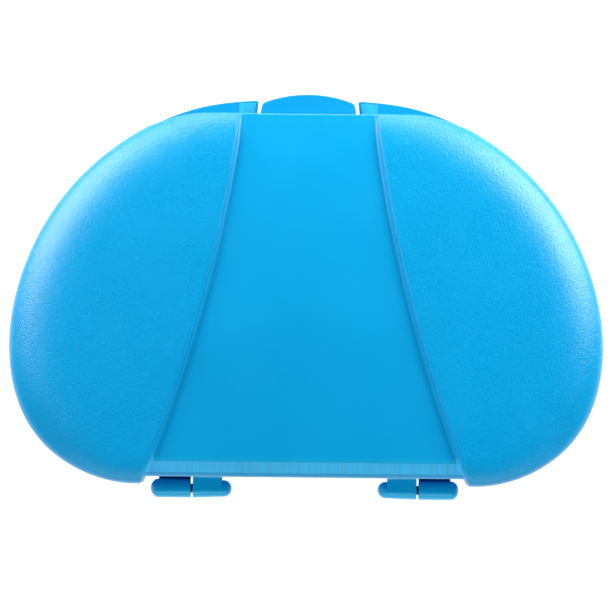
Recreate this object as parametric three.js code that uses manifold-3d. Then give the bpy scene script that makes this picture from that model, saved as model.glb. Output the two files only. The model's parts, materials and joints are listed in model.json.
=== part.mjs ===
// Folding tabletop sandbox: two shallow moulded trays of the same plan, hinged
// along one long edge.  Closed, the upper tray is the cover of the lower one,
// and a clip on the opposite edge holds them together.  Opened flat, each is a
// play tray.  Millimetres, +Z up, standing on the tray's two side lobes.
//
// Frame: X along the hinge edge, Y from the hinge edge (-Y) to the latch edge
// (+Y), Z = 0 on the resting faces, parting plane at Z = SHELL_H.
import * as THREE from "three";
import { mergeVertices } from "three/addons/utils/BufferGeometryUtils.js";
import Module from "manifold-3d";

// ------------------------------------------------------------ dimensions
const SHELL_H = 38; // height of one shell, parting plane to lobe face
const WALL = 2.5; // moulded wall
const RIM_GAP = 0.15; // each rim stops this far from the parting plane

// plan outline, right half: control points of a uniform cubic B-spline that
// starts on the Y axis and ends at the inner corner of the lobe's hinge edge
const OUTLINE = [
  [0, 125.66],
  [70.07, 127.43],
  [134.9, 92.18],
  [177.28, 38.32],
  [196.65, -32.76],
  [177.12, -102.25],
  [101.08, -131.9],
  [42.57, -94.92],
];
const OUTLINE_STEPS = 36;

// lobe surface: draughted wall, shoulder, then a crown dying out inboard
const CROWN_DROP = 11;
const CROWN_WIDTH = 44;
const CROWN_DROP_HINGE = 6; // the crown tightens along the hinge edge
const CROWN_WIDTH_HINGE = 22;
const CROWN_POWER = 3.2;
const SHOULDER = 6;

// recessed centre panel: half width against distance t from the latch edge
const PANEL_TOP_Y = 113.7;
const PANEL_HALF = [43.2, 0.1273, 0.000572];
const PANEL_STEP_DRAFT = 0.8;
const PANEL_SECTIONS = [
  // y, height of the panel above the parting plane
  [150, 31.9],
  [116, 32.6],
  [106, 33.1],
  [94, 33.5],
  [76, 33.7],
  [45, 33.7],
  [14, 33.7],
  [-17, 33.7],
  [-48, 33.7],
  [-79, 33.7],
  [-101.6, 33.7],
  [-103.2, 33.5],
  [-105.1, 33.0],
  [-112.0, 29.9],
  [-113.6, 28.8],
  [-114.9, 26.6],
  [-140, -20],
];

// latch edge: the flat top edge of each shell and the flange that keeps the
// round plan behind it
const TOP_EDGE_Y = 115.5; // at h = TOP_EDGE_H
const TOP_EDGE_H = 33;
const TOP_EDGE_DRAFT = 1.4;
const TOP_EDGE_FLAT = 64;
const FLANGE_T = 2.5;
const NOTCH_HALF_OUT = 32;
const NOTCH_HALF_IN = 33.1;

// hinge edge between the lobes
const HINGE_WALL_HALF = 102.3;
const HINGE_WALL_Y = -116.4; // at the parting plane
const HINGE_WALL_DRAFT = 1.4; // over 30 mm

// hinges
const AXIS_Y = -124.4;
const KNUCKLE_R = 6;
const KNUCKLE_TIP_R = 5.3;
const COVER_KNUCKLE = [47.1, 72.0];
const COVER_WEB = [53.1, 72.0];
const TRAY_KNUCKLE = [73.5, 99.3];
const TRAY_WEB = [73.6, 94.1];
const DOME = 5;
const HINGE_PIN_R = 2.9;
const HINGE_BORE_R = 3.2;
const HINGE_PIN = [50.9, 95.1];
const HINGE_BORE = [50.5, 95.5];

// latch
const LATCH_APEX_Y = 130.5;
const LATCH_R = 79;
const LATCH_HALF_OUT = 29.6;
const LATCH_HALF_IN = 30.7;
const LATCH_T = 2.6;
const LATCH_Z = [20.8, 49.3];
const LIP_Z = 46.35;
const LIP_Y = 117;
const LEDGE_HALF = 20;
const LEDGE_Y = 121.8;
const LEDGE_H = 8;
const LATCH_AXIS = [121, 24]; // y, z
const LATCH_BARREL_R = 3.5;
const LATCH_PIN_R = 2;
const LATCH_BORE_R = 2.3;
const LUG = [12, 17];
const LUG_R = 3.6;

const BLUE = 0x06a6ea;
const BLUE_SHADE = 0x0287c4;

// ------------------------------------------------------------ solids
const wasm = await Module();
wasm.setup();

function solid(geometry) {
  let g = geometry.clone();
  g.deleteAttribute("uv");
  g.deleteAttribute("normal");
  g = mergeVertices(g, 1e-4);
  const tri = [];
  const a = g.index.array;
  for (let i = 0; i < a.length; i += 3) {
    if (a[i] !== a[i + 1] && a[i + 1] !== a[i + 2] && a[i] !== a[i + 2])
      tri.push(a[i], a[i + 1], a[i + 2]);
  }
  return new wasm.Manifold(
    new wasm.Mesh({
      numProp: 3,
      vertProperties: new Float32Array(g.attributes.position.array),
      triVerts: new Uint32Array(tri),
    }),
  );
}

function named(name, body, colour, roughness = 0.42) {
  const m = body.getMesh();
  const g = new THREE.BufferGeometry();
  g.setAttribute(
    "position",
    new THREE.BufferAttribute(new Float32Array(m.vertProperties), 3),
  );
  g.setIndex(new THREE.BufferAttribute(new Uint32Array(m.triVerts), 1));
  g.computeVertexNormals();
  const mesh = new THREE.Mesh(
    g,
    new THREE.MeshStandardMaterial({ color: colour, roughness, metalness: 0 }),
  );
  mesh.name = name;
  return mesh;
}

const box = (x0, x1, y0, y1, z0, z1) =>
  solid(
    new THREE.BoxGeometry(x1 - x0, y1 - y0, z1 - z0).translate(
      (x0 + x1) / 2,
      (y0 + y1) / 2,
      (z0 + z1) / 2,
    ),
  );

// closed skin through rings of equal length, capped on its first and last
function loft(rings) {
  const n = rings[0].length;
  const pos = [];
  for (const r of rings) for (const p of r) pos.push(p[0], p[1], p[2]);
  const idx = [];
  for (let k = 0; k + 1 < rings.length; k++)
    for (let i = 0; i < n; i++) {
      const j = (i + 1) % n;
      const a = k * n + i;
      const b = k * n + j;
      idx.push(a, b, b + n, a, b + n, a + n);
    }
  const flat = (ring) => {
    const dx = Math.max(...ring.map((p) => p[0])) - Math.min(...ring.map((p) => p[0]));
    const dy = Math.max(...ring.map((p) => p[1])) - Math.min(...ring.map((p) => p[1]));
    const dz = Math.max(...ring.map((p) => p[2])) - Math.min(...ring.map((p) => p[2]));
    // project along the thinnest direction
    if (dz <= dx && dz <= dy) return ring.map((p) => new THREE.Vector2(p[0], p[1]));
    if (dy <= dx) return ring.map((p) => new THREE.Vector2(p[2], p[0]));
    return ring.map((p) => new THREE.Vector2(p[1], p[2]));
  };
  // cap triangles that run the same way round as the ring itself
  const cap = (ring) => {
    const c = flat(ring);
    const turn = Math.sign(THREE.ShapeUtils.area(c));
    return THREE.ShapeUtils.triangulateShape([...c], []).map(([i, j, k]) => {
      const same = Math.sign(THREE.ShapeUtils.area([c[i], c[j], c[k]])) === turn;
      return same ? [i, j, k] : [i, k, j];
    });
  };
  const last = (rings.length - 1) * n;
  for (const [i, j, k] of cap(rings[0])) idx.push(i, k, j);
  for (const [i, j, k] of cap(rings.at(-1))) idx.push(last + i, last + j, last + k);
  // turn the skin outwards if the rings ran the other way
  let vol = 0;
  const v = (i) => new THREE.Vector3(pos[3 * i], pos[3 * i + 1], pos[3 * i + 2]);
  for (let i = 0; i < idx.length; i += 3)
    vol += v(idx[i]).dot(v(idx[i + 1]).cross(v(idx[i + 2])));
  if (vol < 0)
    for (let i = 0; i < idx.length; i += 3)
      [idx[i + 1], idx[i + 2]] = [idx[i + 2], idx[i + 1]];
  const g = new THREE.BufferGeometry();
  g.setAttribute("position", new THREE.Float32BufferAttribute(pos, 3));
  g.setIndex(idx);
  return g;
}

// ------------------------------------------------------------ plan outline
// points and inward normals of the outline, counter-clockwise from +Z
function spline(t) {
  const c = [[-OUTLINE[1][0], OUTLINE[1][1]], ...OUTLINE];
  const segs = OUTLINE.length - 2;
  const u = Math.min(t * segs, segs - 1e-9);
  const i = Math.floor(u);
  const f = u - i;
  const b = [
    (1 - f) ** 3 / 6,
    (3 * f ** 3 - 6 * f * f + 4) / 6,
    (-3 * f ** 3 + 3 * f * f + 3 * f + 1) / 6,
    f ** 3 / 6,
  ];
  const d = [
    -((1 - f) ** 2) / 2,
    (3 * f * f - 4 * f) / 2,
    (-3 * f * f + 2 * f + 1) / 2,
    (f * f) / 2,
  ];
  const at = (w, k) => w.reduce((s, v, j) => s + v * c[i + j][k], 0);
  const tx = at(d, 0);
  const ty = at(d, 1);
  const l = Math.hypot(tx, ty);
  return { x: at(b, 0), y: at(b, 1), nx: ty / l, ny: -tx / l, t };
}

function outline() {
  const right = [];
  for (let i = 0; i <= OUTLINE_STEPS; i++) right.push(spline(i / OUTLINE_STEPS));
  right[0].x = 0;
  right[0].nx = 0;
  right[0].ny = -1;
  const end = right.at(-1);
  end.nx = 0;
  end.ny = 1;
  const flat = [
    { x: end.x / 2, y: end.y, nx: 0, ny: 1, t: 1 },
    { x: 0, y: end.y, nx: 0, ny: 1, t: 1 },
    { x: -end.x / 2, y: end.y, nx: 0, ny: 1, t: 1 },
  ];
  const left = right
    .slice(1)
    .reverse()
    .map((p) => ({ ...p, x: -p.x, nx: -p.nx }));
  // right runs clockwise seen from above; turn the loop round
  return [...right, ...flat, ...left].reverse();
}
const LOOP = outline();

const ease = (a, b, v) => {
  const s = Math.min(1, Math.max(0, (v - a) / (b - a)));
  return s * s * (3 - 2 * s);
};

// [inset, height] down the wall, over the shoulder and up the crown
function profile(t) {
  const e = ease(0.8, 0.97, t);
  const drop = CROWN_DROP + (CROWN_DROP_HINGE - CROWN_DROP) * e;
  const width = CROWN_WIDTH + (CROWN_WIDTH_HINGE - CROWN_WIDTH) * e;
  const crown = (d) =>
    SHELL_H - drop * Math.pow(Math.max(0, 1 - d / width), CROWN_POWER);
  const h = crown(SHOULDER);
  const out = [
    [0, 0],
    [1.2, h - 7.6],
    [1.6, h - 4.9],
    [2.7, h - 2.3],
    [4.3, h - 0.95],
    [SHOULDER, h],
  ];
  for (const u of [0.1, 0.26, 0.5, 1]) {
    const d = SHOULDER + (width - SHOULDER) * u;
    out.push([d, crown(d)]);
  }
  return out;
}

// the profile moved inwards along its own normal
function inner(prof, o) {
  if (!o) return prof;
  return prof.map((p, i) => {
    const a = prof[Math.max(0, i - 1)];
    const b = prof[Math.min(prof.length - 1, i + 1)];
    let nx = b[1] - a[1];
    let ny = -(b[0] - a[0]);
    if (i === prof.length - 1) [nx, ny] = [0, -1];
    const l = Math.hypot(nx, ny);
    return [p[0] + (nx / l) * o, p[1] + (ny / l) * o];
  });
}

// one shell's full shape, height measured up from the parting plane
function form(o) {
  const profs = LOOP.map((p) => inner(profile(p.t), o));
  const base = o ? -1 : RIM_GAP;
  const rings = profs[0].map((_, k) =>
    LOOP.map((p, i) => {
      const [d, h] = profs[i][k];
      return [p.x + p.nx * d, p.y + p.ny * d, k ? h : base];
    }),
  );
  const lobes = solid(loft(rings));

  // centre panel recess
  const sections = PANEL_SECTIONS.map(([y, h]) => {
    const t = Math.max(-3, PANEL_TOP_Y - y);
    const half =
      PANEL_HALF[0] + PANEL_HALF[1] * t + PANEL_HALF[2] * t * t;
    const low = half - PANEL_STEP_DRAFT + o;
    const high = half + PANEL_STEP_DRAFT * 3 + o;
    return [
      [-low, y, h - o],
      [-high, y, 60],
      [high, y, 60],
      [low, y, h - o],
    ];
  });
  const recess = solid(loft(sections));

  // hinge-edge wall between the lobes
  const w = HINGE_WALL_HALF + o;
  const yw = (h) => HINGE_WALL_Y + (HINGE_WALL_DRAFT * h) / 30 + o;
  const hinge = solid(
    loft(
      [-5, 60].map((h) => [
        [-w, -150, h],
        [w, -150, h],
        [w, yw(h), h],
        [-w, yw(h), h],
      ]),
    ),
  );

  // flat latch edge
  const latch = solid(
    loft(
      [-5, 60].map((h) => {
        const y0 = TOP_EDGE_Y + TOP_EDGE_DRAFT * (1 - h / TOP_EDGE_H) - o;
        const edge = [0, TOP_EDGE_FLAT, 70, 76, 82, 89, 160].map((x) => {
          const q = Math.min(x, 89) - TOP_EDGE_FLAT;
          const s = q > 0 ? (q * q) / 150 : 0;
          return [x, y0 - s - (x > 89 ? (x - 89) / 3 : 0)];
        });
        const right = edge.map(([x, y]) => [x, y, h]);
        const left = edge
          .slice(1)
          .reverse()
          .map(([x, y]) => [-x, y, h]);
        return [...left, ...right, [160, 170, h], [-160, 170, h]];
      }),
    ),
  );
  return lobes.subtract(recess).subtract(hinge).subtract(latch);
}

// flange wings at the parting plane, either side of the latch notch
function flanges() {
  const ring = (h) => LOOP.map((p) => [p.x, p.y, h]);
  const plate = solid(loft([ring(RIM_GAP), ring(RIM_GAP + FLANGE_T)]));
  const side = (s) => {
    const pts = [
      [NOTCH_HALF_IN, 110],
      [105, 100],
      [105, 135],
      [NOTCH_HALF_OUT - 0.8, 135],
      [NOTCH_HALF_OUT, 125.5],
      [NOTCH_HALF_IN, 117],
    ].map(([x, y]) => [s * x, y]);
    if (s < 0) pts.reverse();
    return solid(loft([-1, 8].map((h) => pts.map(([x, y]) => [x, y, h]))));
  };
  const pad = (s) => {
    const [a, b] = s > 0 ? [34, 44.6] : [-44.6, -34];
    return box(a, b, 114, 124, RIM_GAP + 0.5, RIM_GAP + FLANGE_T + 0.5);
  };
  return plate
    .intersect(side(1).add(side(-1)))
    .add(pad(1))
    .add(pad(-1));
}

// barrel along X with one domed end, outer end at x1 (or x0 when flip)
function knuckle(x0, x1, domeAtHigh, tipR) {
  const pts = [new THREE.Vector2(0, 0), new THREE.Vector2(KNUCKLE_R, 0)];
  const len = x1 - x0;
  const steps = 4;
  for (let i = 0; i <= steps; i++) {
    const a = (i / steps) * (Math.PI / 2);
    pts.push(
      new THREE.Vector2(
        i === steps ? 0 : tipR * Math.cos(a),
        len - DOME + DOME * Math.sin(a),
      ),
    );
  }
  const g = new THREE.LatheGeometry(pts, 24);
  g.rotateZ(domeAtHigh ? -Math.PI / 2 : Math.PI / 2);
  g.translate(domeAtHigh ? x0 : x1, AXIS_Y, 0);
  return solid(g);
}

const rod = (x0, x1, y, z, r, n = 20) =>
  solid(
    new THREE.CylinderGeometry(r, r, x1 - x0, n)
      .rotateZ(Math.PI / 2)
      .translate((x0 + x1) / 2, y, z),
  );

const both = (a, b, make) => make(a, b, 1).add(make(-b, -a, -1));

// web from the hinge-edge wall out to the barrel, above the parting plane
function web(a, b) {
  const s = new THREE.Shape();
  s.moveTo(-114.4, RIM_GAP);
  s.lineTo(-114.4, 8.5);
  s.lineTo(-116.2, 7.6);
  s.lineTo(-118.6, 6.0);
  s.lineTo(AXIS_Y, KNUCKLE_R);
  s.lineTo(AXIS_Y, RIM_GAP);
  s.closePath();
  const g = new THREE.ExtrudeGeometry(s, {
    depth: b - a,
    bevelEnabled: false,
  });
  // shape axes are (y, h); sweep runs along x
  g.applyMatrix4(
    new THREE.Matrix4().set(0, 0, 1, a, 1, 0, 0, 0, 0, 1, 0, 0, 0, 0, 0, 1),
  );
  return solid(g);
}

// a shell with its rims, flanges and hinge barrels, height up from parting
function shell(kn, wb, outer, extra) {
  let body = form(0).add(flanges());
  body = body.add(both(wb[0], wb[1], (a, b) => web(a, b)));
  if (extra) body = body.add(extra);
  body = body.subtract(form(WALL));
  const tip = outer ? KNUCKLE_R : KNUCKLE_TIP_R;
  body = body.add(knuckle(kn[0], kn[1], outer, tip));
  body = body.add(knuckle(-kn[1], -kn[0], !outer, tip));
  return body.subtract(
    both(HINGE_BORE[0], HINGE_BORE[1], (a, b) =>
      rod(a, b, AXIS_Y, 0, HINGE_BORE_R),
    ),
  );
}

// shell height axis up from the parting plane -> object frame
const asCover = (m) => m.translate([0, 0, SHELL_H]);
const asTray = (m) => m.mirror([0, 0, 1]).translate([0, 0, SHELL_H]);

// cover: catch ledge for the clip
const ledge = box(
  -LEDGE_HALF,
  LEDGE_HALF,
  113.9,
  LEDGE_Y,
  RIM_GAP,
  LEDGE_H,
);
const cover = asCover(shell(COVER_KNUCKLE, COVER_WEB, false, ledge));

// tray: two lugs for the clip's pin
const [ly, lz] = LATCH_AXIS;
const lugH = SHELL_H - lz; // below the parting plane
const lug = (a, b) =>
  box(a, b, 113.9, ly, lugH - LUG_R, lugH + LUG_R).add(
    rod(a, b, ly, lugH, LUG_R),
  );
const tray = asTray(
  shell(TRAY_KNUCKLE, TRAY_WEB, true, both(LUG[0], LUG[1], lug)),
).subtract(rod(-40, 40, ly, lz, LATCH_BORE_R, 16));

// clip: curved plate, lip over the cover's ledge, cheeks, barrels on the pin
function clipPlan(off, z0, z1) {
  const cy = LATCH_APEX_Y - LATCH_R;
  const r = LATCH_R - off;
  const s = new THREE.Shape();
  const xo = LATCH_HALF_OUT - off;
  const xi = LATCH_HALF_IN - off;
  const y0 = off ? LIP_Y - 5 : LIP_Y;
  s.moveTo(-xi, y0);
  s.lineTo(xi, y0);
  s.lineTo(xi, LIP_Y + 1.5);
  s.lineTo(xo, 123.2 - off);
  const N = 16;
  const lim = xo - 1.1;
  for (let i = 0; i <= N; i++) {
    const x = lim - (2 * lim * i) / N;
    s.lineTo(x, cy + Math.sqrt(r * r - x * x));
  }
  s.lineTo(-xo, 123.2 - off);
  s.lineTo(-xi, LIP_Y + 1.5);
  s.closePath();
  const g = new THREE.ExtrudeGeometry(s, {
    depth: z1 - z0,
    bevelEnabled: false,
  });
  return solid(g.translate(0, 0, z0));
}
function clip() {
  const [z0, z1] = LATCH_Z;
  const full = clipPlan(0, z0, z1);
  let band = clipPlan(0, z0, LIP_Z + 1).subtract(
    clipPlan(LATCH_T, z0 - 1, LIP_Z + 2),
  );
  // cheeks stop at the pin so the clip can swing out
  band = band.subtract(box(-40, 40, 110, ly + 1, z0 - 1, lz));
  const lip = clipPlan(0, LIP_Z, z1);
  let hub = rod(-11.7, 11.7, ly, lz, LATCH_BARREL_R);
  hub = hub.add(both(17.3, 28.6, (a, b) => rod(a, b, ly, lz, LATCH_BARREL_R)));
  let webs = box(-11.7, 11.7, ly, 131, 21, 27);
  webs = webs.add(both(17.3, 28.6, (a, b) => box(a, b, ly, 131, 21, 27)));
  return band
    .add(lip)
    .add(hub)
    .add(webs.intersect(full))
    .subtract(rod(-40, 40, ly, lz, LATCH_BORE_R, 16));
}

const pin = (x0, x1, y, z, r) => rod(x0, x1, y, z, r, 16);

// ------------------------------------------------------------ scene
const sandbox = new THREE.Group();
sandbox.add(named("tray_shell", tray, BLUE));
sandbox.add(named("cover_shell", cover, BLUE));
sandbox.add(
  named(
    "hinge_pin_left",
    pin(-HINGE_PIN[1], -HINGE_PIN[0], AXIS_Y, SHELL_H, HINGE_PIN_R),
    BLUE_SHADE,
  ),
);
sandbox.add(
  named(
    "hinge_pin_right",
    pin(HINGE_PIN[0], HINGE_PIN[1], AXIS_Y, SHELL_H, HINGE_PIN_R),
    BLUE_SHADE,
  ),
);
sandbox.add(named("latch", clip(), BLUE));
sandbox.add(named("latch_pin", pin(-29.8, 29.8, ly, lz, LATCH_PIN_R), BLUE_SHADE));

export default sandbox;
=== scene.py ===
import json
import math

import bpy
import numpy as np
from mathutils import Matrix, Vector

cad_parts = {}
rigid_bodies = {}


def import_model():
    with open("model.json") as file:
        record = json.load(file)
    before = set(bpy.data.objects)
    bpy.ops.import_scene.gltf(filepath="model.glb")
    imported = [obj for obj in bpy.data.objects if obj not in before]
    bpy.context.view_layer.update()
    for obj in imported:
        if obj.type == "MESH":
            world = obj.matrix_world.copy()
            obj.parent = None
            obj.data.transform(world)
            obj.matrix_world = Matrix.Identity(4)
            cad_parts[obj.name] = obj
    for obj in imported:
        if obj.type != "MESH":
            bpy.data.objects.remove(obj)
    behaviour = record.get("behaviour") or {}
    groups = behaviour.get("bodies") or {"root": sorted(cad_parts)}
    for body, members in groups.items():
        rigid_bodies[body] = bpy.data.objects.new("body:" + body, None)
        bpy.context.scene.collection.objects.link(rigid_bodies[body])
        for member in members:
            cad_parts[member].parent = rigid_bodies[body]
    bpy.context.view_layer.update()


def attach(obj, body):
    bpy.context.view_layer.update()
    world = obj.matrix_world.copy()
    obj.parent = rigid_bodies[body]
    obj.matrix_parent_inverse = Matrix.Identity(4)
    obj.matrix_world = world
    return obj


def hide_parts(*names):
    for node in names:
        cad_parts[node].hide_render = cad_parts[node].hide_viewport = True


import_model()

MM = 0.001
PART_Z = 38.0

# ---------------------------------------------------------------- dimensions
CTRL = np.array([
    [0, 125.66], [70.07, 127.43], [134.9, 92.18], [177.28, 38.32],
    [196.65, -32.76], [177.12, -102.25], [101.08, -131.9], [42.57, -94.92]])
WALL = 2.5
RIM = 0.15
SHELL_H = 38.0
BOTTOM_Y = -120.8
CROWN_DROP, CROWN_W = 11.0, 44.0
CROWN_DROP_H, CROWN_W_H = 6.0, 22.0
POWER = 3.2
SHOULDER = 6.0
TOP_Y0 = 116.9
TOP_DRAFT = 1.4 / 33.0
TOP_R = 1.0
EDGE_R = 0.7
BAND_W, BAND_DROP = 3.3, 0.75
AXIS_Y = -124.4
KN_R, KN_TIP = 6.0, 5.3


def smooth(a, b, v):
    s = np.clip((np.asarray(v, float) - a) / (b - a), 0, 1)
    return s * s * (3 - 2 * s)


# ---------------------------------------------------------------- plan outline
def spl(t, order=0):
    t = np.asarray(t, float)
    sgn = np.where(t < 0, -1.0, 1.0)
    c = np.vstack([[-CTRL[1, 0], CTRL[1, 1]], CTRL])
    segs = len(CTRL) - 2
    u = np.clip(np.abs(t) * segs, 0, segs - 1e-9)
    i = np.floor(u).astype(int)
    f = u - i
    if order == 0:
        b = [(1 - f) ** 3 / 6, (3 * f**3 - 6 * f**2 + 4) / 6,
             (-3 * f**3 + 3 * f**2 + 3 * f + 1) / 6, f**3 / 6]
        k = 1.0
    elif order == 1:
        b = [-((1 - f) ** 2) / 2, (3 * f**2 - 4 * f) / 2,
             (-3 * f**2 + 2 * f + 1) / 2, f**2 / 2]
        k = segs
    else:
        b = [1 - f, 3 * f - 2, -3 * f + 1, f]
        k = segs**2
    out = sum(bb[..., None] * c[i + j] for j, bb in enumerate(b)) * k
    if order == 0:
        out[..., 0] *= sgn
    return out


_T = np.linspace(0, 1, 321)
_P = spl(_T)


def outline_dist(x, y):
    """Inset from the plan outline, and the outline's own parameter there."""
    x, y = np.abs(np.asarray(x, float)), np.asarray(y, float)
    shp = x.shape
    q = np.stack([x.ravel(), y.ravel()], 1)
    t = np.empty(len(q))
    for a in range(0, len(q), 20000):
        d2 = ((q[a:a + 20000, None, :] - _P[None]) ** 2).sum(2)
        t[a:a + 20000] = _T[d2.argmin(1)]
    for _ in range(5):
        p, d1, dd = spl(t), spl(t, 1), spl(t, 2)
        r = p - q
        g = (r * d1).sum(1)
        h = (d1 * d1).sum(1) + (r * dd).sum(1)
        h = np.where(h > 1e3, h, (d1 * d1).sum(1))
        t = np.clip(t - g / h, 0, 1)
    p, d1 = spl(t), spl(t, 1)
    r = q - p
    n = np.stack([d1[:, 1], -d1[:, 0]], 1)
    n /= np.linalg.norm(n, axis=1)[:, None]
    d = (r * n).sum(1)
    low = (q[:, 0] < _P[-1, 0]) & (t > 0.9)
    d = np.where(low, np.minimum(np.abs(d) + 99 * (t > 2), q[:, 1] - BOTTOM_Y), d)
    t = np.where(low, 1.0, t)
    return d.reshape(shp), t.reshape(shp)


# ---------------------------------------------------------------- lobe surface
def crown_params(t):
    e = smooth(0.8, 0.97, t)
    return (CROWN_DROP + (CROWN_DROP_H - CROWN_DROP) * e,
            CROWN_W + (CROWN_W_H - CROWN_W) * e)


def lobe_h(d, t):
    """Height of the lobe's outer skin over the parting plane."""
    A, W = crown_params(t)
    d = np.asarray(d, float)
    crown = SHELL_H - A * np.clip(1 - np.maximum(d, SHOULDER) / W, 0, 1) ** POWER
    hs = SHELL_H - A * (1 - SHOULDER / W) ** POWER
    slope = A * POWER / W * (1 - SHOULDER / W) ** (POWER - 1)
    # shoulder: a cubic from the draughted wall to the crown's start
    p0x, p0y = 1.2, hs - 7.6
    k1, k2 = 4.3, 2.7
    l = math.hypot(1.2, 24.0)
    p1x, p1y = p0x + k1 * 1.2 / l, p0y + k1 * 24.0 / l
    p2x, p2y = SHOULDER - k2 / np.sqrt(1 + slope**2), hs - k2 * slope / np.sqrt(1 + slope**2)
    # invert x(s) = d by bisection-free Newton on a monotone cubic
    dd = np.clip(d, p0x, SHOULDER)
    s = ((dd - p0x) / (SHOULDER - p0x)) ** 0.6
    for _ in range(8):
        a = 1 - s
        xx = a**3 * p0x + 3 * a * a * s * p1x + 3 * a * s * s * p2x + s**3 * SHOULDER
        dx = 3 * a * a * (p1x - p0x) + 6 * a * s * (p2x - p1x) + 3 * s * s * (SHOULDER - p2x)
        s = np.clip(s - (xx - dd) / np.maximum(dx, 1e-3), 0, 1)
    a = 1 - s
    sh = a**3 * p0y + 3 * a * a * s * p1y + 3 * a * s * s * p2y + s**3 * hs
    wall = (hs - 7.6) * d / 1.2
    return np.where(d < 1.2, wall, np.where(d < SHOULDER, sh, crown))


def half_width(y):
    t = 113.7 - np.asarray(y, float)
    return 43.2 + 0.1273 * t + 0.000572 * t * t


def half_slope(y):
    t = 113.7 - np.asarray(y, float)
    return -(0.1273 + 0.001144 * t)


def top_line(x):
    x = np.abs(np.asarray(x, float))
    q = np.clip(x, 64, 89) - 64
    return TOP_Y0 - q * q / 150 - np.clip(x - 89, 0, None) / 3


def edge_round(u, r, steep):
    """Fall below a surface near its edge: an arc, then a steep wall."""
    a = np.clip(r - u, 0, r)
    return np.where(u < 0, r - u * steep, r - np.sqrt(np.clip(r * r - a * a, 0, None)))


def skin_h(x, y):
    """Lobe skin with the latch edge cut and the step's edge band."""
    x = np.abs(x)
    d, t = outline_dist(x, y)
    h = lobe_h(d, t)
    slope = np.clip(x - 64, 0, 25) / 75
    g = (top_line(x) - y) / np.sqrt(1 + slope**2)
    g0 = TOP_DRAFT * np.maximum(h - TOP_R, 0)
    h = h - edge_round(g - g0, TOP_R, 1 / TOP_DRAFT)
    e = (x - half_width(y)) / np.sqrt(1 + half_slope(y) ** 2)
    b = np.clip(1 - e / BAND_W, 0, 1)
    h = h - BAND_DROP * b * b * smooth(-1, 8, d)
    return np.maximum(h, RIM)


# ---------------------------------------------------------------- grids
def grid_normals(G):
    """Normals of a structured grid, pointing along dG/di x dG/dk."""
    di = np.gradient(G, axis=0)
    dk = np.gradient(G, axis=1)
    n = np.cross(di, dk)
    l = np.linalg.norm(n, axis=2, keepdims=True)
    bad = l[..., 0] < 1e-9
    n = n / np.maximum(l, 1e-12)
    if bad.any():
        for _ in range(3):
            for i, k in zip(*np.nonzero(bad)):
                acc = np.zeros(3)
                for a, b in ((-1, 0), (1, 0), (0, -1), (0, 1)):
                    ii, kk = i + a, k + b
                    if 0 <= ii < G.shape[0] and 0 <= kk < G.shape[1] and not bad[ii, kk]:
                        acc += n[ii, kk]
                m = np.linalg.norm(acc)
                if m > 0:
                    n[i, k] = acc / m
                    bad[i, k] = False
            if not bad.any():
                break
    return n


class Bag:
    """Collects quad patches with their corner normals and a material index."""

    def __init__(self):
        self.v, self.n, self.f, self.m = [], [], [], []
        self.count = 0

    def grid(self, G, N, mat=0, close=False):
        """G[i, k] points and N[i, k] outward normals; close joins i's ends."""
        G, N = np.asarray(G, float), np.asarray(N, float)
        I, K = G.shape[:2]
        self.v.append(G.reshape(-1, 3))
        self.n.append(N.reshape(-1, 3))
        ii = np.arange(I if close else I - 1)
        kk = np.arange(K - 1)
        a = (ii[:, None] * K + kk[None]).ravel()
        b = (((ii[:, None] + 1) % I) * K + kk[None]).ravel()
        self.f.append(np.stack([a, b, b + 1, a + 1], 1) + self.count)
        self.m.append(np.full(len(a), mat))
        self.count += I * K

    def add(self, other, mirror_x=False, mirror_z=False):
        s = np.array([-1.0 if mirror_x else 1.0, 1.0, -1.0 if mirror_z else 1.0])
        self.v += [v * s for v in other.v]
        self.n += [n * s for n in other.n]
        self.f += [f + self.count for f in other.f]
        self.m += list(other.m)
        self.count += other.count
        return self

    def build(self, name, mats, dz=0.0):
        v = np.concatenate(self.v)
        n = np.concatenate(self.n)
        f = np.concatenate(self.f)
        m = np.concatenate(self.m)
        l = np.linalg.norm(n, axis=1, keepdims=True)
        n = np.where(l > 1e-9, n / np.maximum(l, 1e-12), [0.0, 0.0, 1.0])
        fn = np.cross(v[f[:, 2]] - v[f[:, 0]], v[f[:, 3]] - v[f[:, 1]])
        keep = np.linalg.norm(fn, axis=1) > 2e-8
        f, m, fn = f[keep], m[keep], fn[keep]
        back = (fn * n[f].sum(1)).sum(1) < 0
        f[back] = f[back][:, ::-1]
        key = np.round(v * 1e5).astype(np.int64)
        same = (key[f] == key[np.roll(f, 1, axis=1)]).all(2)
        faces, mi = [], []
        for q, dup, mm in zip(f.tolist(), same.tolist(), m.tolist()):
            out = [i for i, d in zip(q, dup) if not d]
            if len(out) > 2:
                faces.append(out)
                mi.append(mm)
        me = bpy.data.meshes.new(name)
        me.from_pydata(((v + [0, 0, dz]) * MM).tolist(), [], faces)
        me.polygons.foreach_set("use_smooth", np.ones(len(faces), bool))
        for mat in mats:
            me.materials.append(mat)
        me.polygons.foreach_set("material_index", np.array(mi, np.int32))
        me.normals_split_custom_set_from_vertices(n.tolist())
        me.update()
        ob = bpy.data.objects.new(name, me)
        bpy.context.scene.collection.objects.link(ob)
        return ob


# ---------------------------------------------------------------- lobe
INSETS = np.array(
    [0.0, 0.12, 0.3, 0.5, 0.7, 0.9, 1.05, 1.15, 1.2, 1.24, 1.28, 1.32, 1.36, 1.4,
     1.45, 1.52, 1.6, 1.7, 1.82, 1.96, 2.12, 2.3, 2.5, 2.75, 3.05, 3.4, 3.8, 4.3,
     4.8, 5.4, 6.0])


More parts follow.
